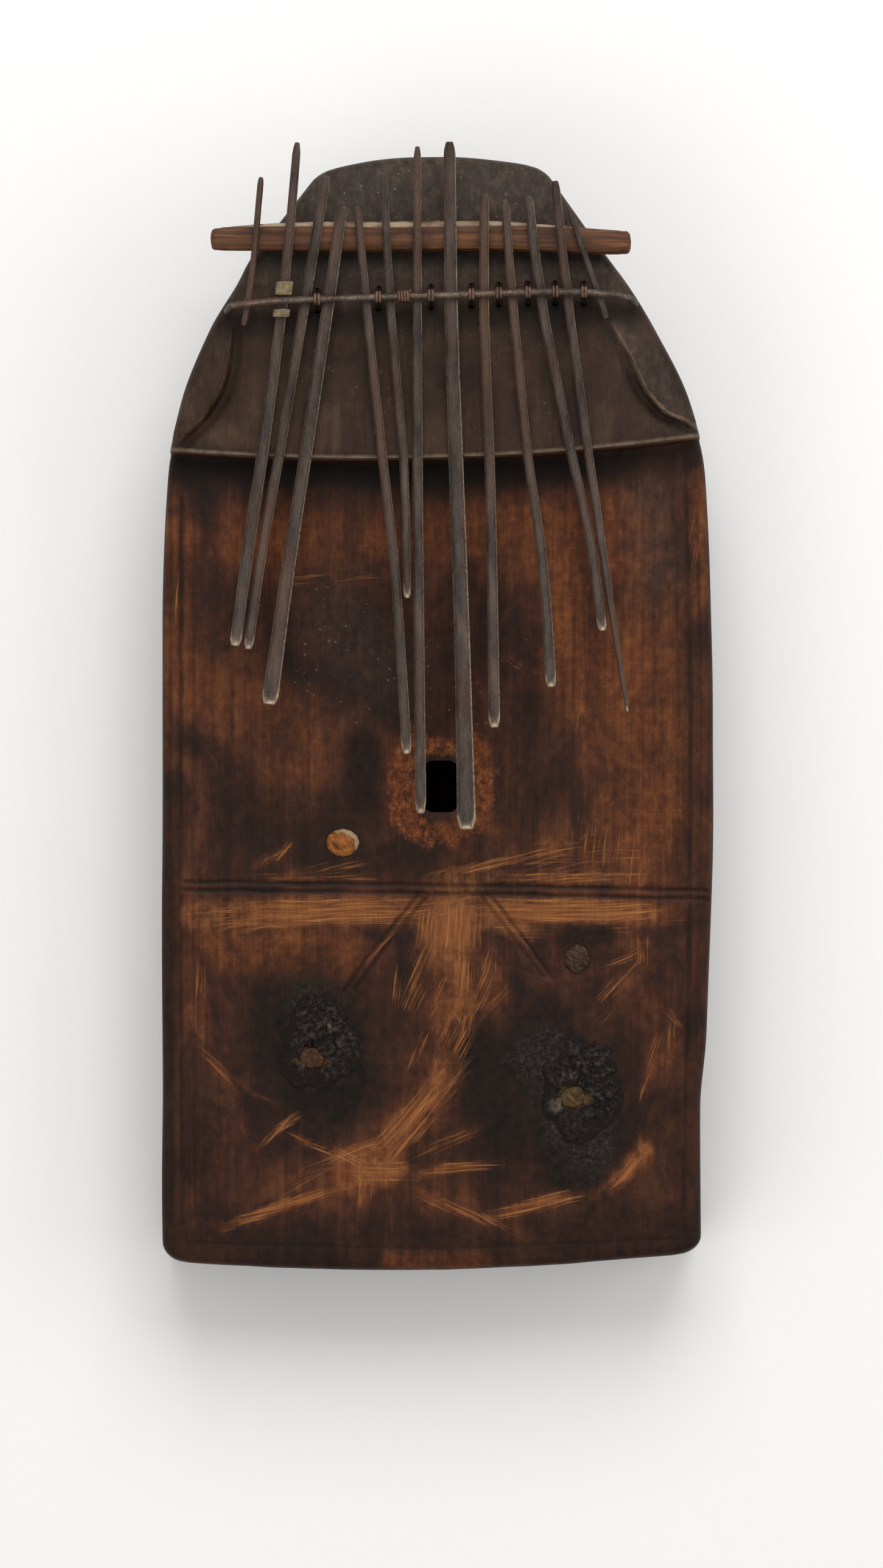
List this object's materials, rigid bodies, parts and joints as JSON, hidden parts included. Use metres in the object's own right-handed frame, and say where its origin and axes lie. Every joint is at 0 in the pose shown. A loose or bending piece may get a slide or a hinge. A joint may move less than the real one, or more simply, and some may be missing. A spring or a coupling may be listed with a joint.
{
  "type": "thumb piano",
  "caption": "Bell-shaped thumb piano with a hollowed wooden body, hand-forged iron tines lashed under an iron bar, a sound hole and wax-ringed buzzer holes.",
  "frame": {"origin": "middle of the body's length and width on its flat back face", "axes": "+Z out of the soundboard, +Y along the tines to the head, +X to the right as the player of the picture's view sees it"},
  "size_m": [0.1511, 0.3078, 0.0614],
  "materials": {
    "body_wood": "dark oiled hardwood, worn red-brown at the edges",
    "stick_wood": "rubbed orange-brown wood",
    "plug_wood": "paler cut wood",
    "iron": "hammered iron, brown oxide with rubbed bright edges",
    "wire": "dulled copper wire",
    "brass": "dulled sheet brass",
    "wax": "black wax"
  },
  "bodies": {
    "sound_box": {"sound_box": "body_wood", "end_slat": "plug_wood", "backrest_stick": "stick_wood", "pressure_bar": "iron", "wire_lashing_1": "wire", "wire_lashing_2": "wire", "wire_lashing_3": "wire", "wire_lashing_4": "wire", "wire_lashing_5": "wire", "wire_lashing_6": "wire", "wire_lashing_7": "wire", "wire_lashing_8": "wire", "bar_winding": "wire", "brass_sleeve": "brass", "brass_ring": "brass", "tine_01_stub": "iron", "tine_13_stub": "iron", "buzzer_plug_left": "plug_wood", "buzzer_plug_right": "plug_wood", "wax_ring_left": "wax", "wax_ring_right": "wax", "repair_peg_upper": "plug_wood", "repair_peg_lower": "plug_wood"},
    "tine_02_root": {"tine_02_root": "iron"},
    "tine_02_tongue": {"tine_02_tongue": "iron"},
    "tine_03_root": {"tine_03_root": "iron"},
    "tine_03_tongue": {"tine_03_tongue": "iron"},
    "tine_04_root": {"tine_04_root": "iron"},
    "tine_04_tongue": {"tine_04_tongue": "iron"},
    "tine_05_root": {"tine_05_root": "iron"},
    "tine_05_tongue": {"tine_05_tongue": "iron"},
    "tine_06_root": {"tine_06_root": "iron"},
    "tine_06_tongue": {"tine_06_tongue": "iron"},
    "tine_07_root": {"tine_07_root": "iron"},
    "tine_07_tongue": {"tine_07_tongue": "iron"},
    "tine_08_root": {"tine_08_root": "iron"},
    "tine_08_tongue": {"tine_08_tongue": "iron"},
    "tine_09_root": {"tine_09_root": "iron"},
    "tine_09_tongue": {"tine_09_tongue": "iron"},
    "tine_10_root": {"tine_10_root": "iron"},
    "tine_10_tongue": {"tine_10_tongue": "iron"},
    "tine_11_root": {"tine_11_root": "iron"},
    "tine_11_tongue": {"tine_11_tongue": "iron"},
    "tine_12_root": {"tine_12_root": "iron"},
    "tine_12_tongue": {"tine_12_tongue": "iron"}
  },
  "joints": [
    {"name": "tine_02_tuning", "type": "slide", "parent": "sound_box", "child": "tine_02_root", "axis": [0.134, 0.989, 0.063], "range_m": [-0.003, 0.003]},
    {"name": "tine_02_pluck", "type": "hinge", "parent": "tine_02_root", "child": "tine_02_tongue", "pos_m": [-0.0476, 0.07018, 0.05396], "axis": [0.9893, -0.1462, 0], "range_deg": [-3, 3], "stiffness_Nm_per_rad": 5.676},
    {"name": "tine_03_tuning", "type": "slide", "parent": "sound_box", "child": "tine_03_root", "axis": [0.1689, 0.9836, 0.0626], "range_m": [-0.003, 0.003]},
    {"name": "tine_03_pluck", "type": "hinge", "parent": "tine_03_root", "child": "tine_03_tongue", "pos_m": [-0.0431, 0.07, 0.05396], "axis": [0.9855, -0.1695, 0], "range_deg": [-3, 3], "stiffness_Nm_per_rad": 4.71},
    {"name": "tine_04_tuning", "type": "slide", "parent": "sound_box", "child": "tine_04_root", "axis": [0.1492, 0.9868, 0.0628], "range_m": [-0.003, 0.003]},
    {"name": "tine_04_pluck", "type": "hinge", "parent": "tine_04_root", "child": "tine_04_tongue", "pos_m": [-0.0359, 0.06977, 0.05397], "axis": [0.9887, -0.1501, 0], "range_deg": [-3, 3], "stiffness_Nm_per_rad": 5.551},
    {"name": "tine_05_tuning", "type": "slide", "parent": "sound_box", "child": "tine_05_root", "axis": [-0.1049, 0.9925, 0.0632], "range_m": [-0.003, 0.003]},
    {"name": "tine_05_pluck", "type": "hinge", "parent": "tine_05_root", "child": "tine_05_tongue", "pos_m": [-0.0148, 0.06955, 0.05398], "axis": [0.9942, 0.1072, 0], "range_deg": [-3, 3], "stiffness_Nm_per_rad": 3.13},
    {"name": "tine_06_tuning", "type": "slide", "parent": "sound_box", "child": "tine_06_root", "axis": [-0.0842, 0.9944, 0.0633], "range_m": [-0.003, 0.003]},
    {"name": "tine_06_pluck", "type": "hinge", "parent": "tine_06_root", "child": "tine_06_tongue", "pos_m": [-0.0091, 0.06961, 0.05398], "axis": [0.9994, 0.0342, 0], "range_deg": [-3, 3], "stiffness_Nm_per_rad": 5.369},
    {"name": "tine_07_tuning", "type": "slide", "parent": "sound_box", "child": "tine_07_root", "axis": [0, 0.998, 0.0636], "range_m": [-0.003, 0.003]},
    {"name": "tine_07_pluck", "type": "hinge", "parent": "tine_07_root", "child": "tine_07_tongue", "pos_m": [-0.0053, 0.06967, 0.05398], "axis": [1, 0.0092, 0], "range_deg": [-3, 3], "stiffness_Nm_per_rad": 2.796},
    {"name": "tine_08_tuning", "type": "slide", "parent": "sound_box", "child": "tine_08_root", "axis": [-0.0296, 0.9975, 0.0635], "range_m": [-0.003, 0.003]},
    {"name": "tine_08_pluck", "type": "hinge", "parent": "tine_08_root", "child": "tine_08_tongue", "pos_m": [0.0051, 0.06996, 0.05396], "axis": [0.9993, 0.0364, 0], "range_deg": [-3, 3], "stiffness_Nm_per_rad": 4.235},
    {"name": "tine_09_tuning", "type": "slide", "parent": "sound_box", "child": "tine_09_root", "axis": [-0.0342, 0.9974, 0.0635], "range_m": [-0.003, 0.003]},
    {"name": "tine_09_pluck", "type": "hinge", "parent": "tine_09_root", "child": "tine_09_tongue", "pos_m": [0.0143, 0.07035, 0.05395], "axis": [0.9996, 0.0274, 0], "range_deg": [-3, 3], "stiffness_Nm_per_rad": 3.778},
    {"name": "tine_10_tuning", "type": "slide", "parent": "sound_box", "child": "tine_10_root", "axis": [-0.096, 0.9934, 0.0633], "range_m": [-0.003, 0.003]},
    {"name": "tine_10_pluck", "type": "hinge", "parent": "tine_10_root", "child": "tine_10_tongue", "pos_m": [0.0246, 0.07094, 0.05393], "axis": [0.9914, 0.1311, 0], "range_deg": [-3, 3], "stiffness_Nm_per_rad": 4.028},
    {"name": "tine_11_tuning", "type": "slide", "parent": "sound_box", "child": "tine_11_root", "axis": [-0.1899, 0.9798, 0.0624], "range_m": [-0.003, 0.003]},
    {"name": "tine_11_pluck", "type": "hinge", "parent": "tine_11_root", "child": "tine_11_tongue", "pos_m": [0.0364, 0.07181, 0.0539], "axis": [0.9772, 0.2123, 0], "range_deg": [-3, 3], "stiffness_Nm_per_rad": 4.92},
    {"name": "tine_12_tuning", "type": "slide", "parent": "sound_box", "child": "tine_12_root", "axis": [-0.1327, 0.9891, 0.063], "range_m": [-0.003, 0.003]},
    {"name": "tine_12_pluck", "type": "hinge", "parent": "tine_12_root", "child": "tine_12_tongue", "pos_m": [0.0411, 0.07222, 0.05389], "axis": [0.9898, 0.1422, 0], "range_deg": [-3, 3], "stiffness_Nm_per_rad": 2.148}
  ]
}
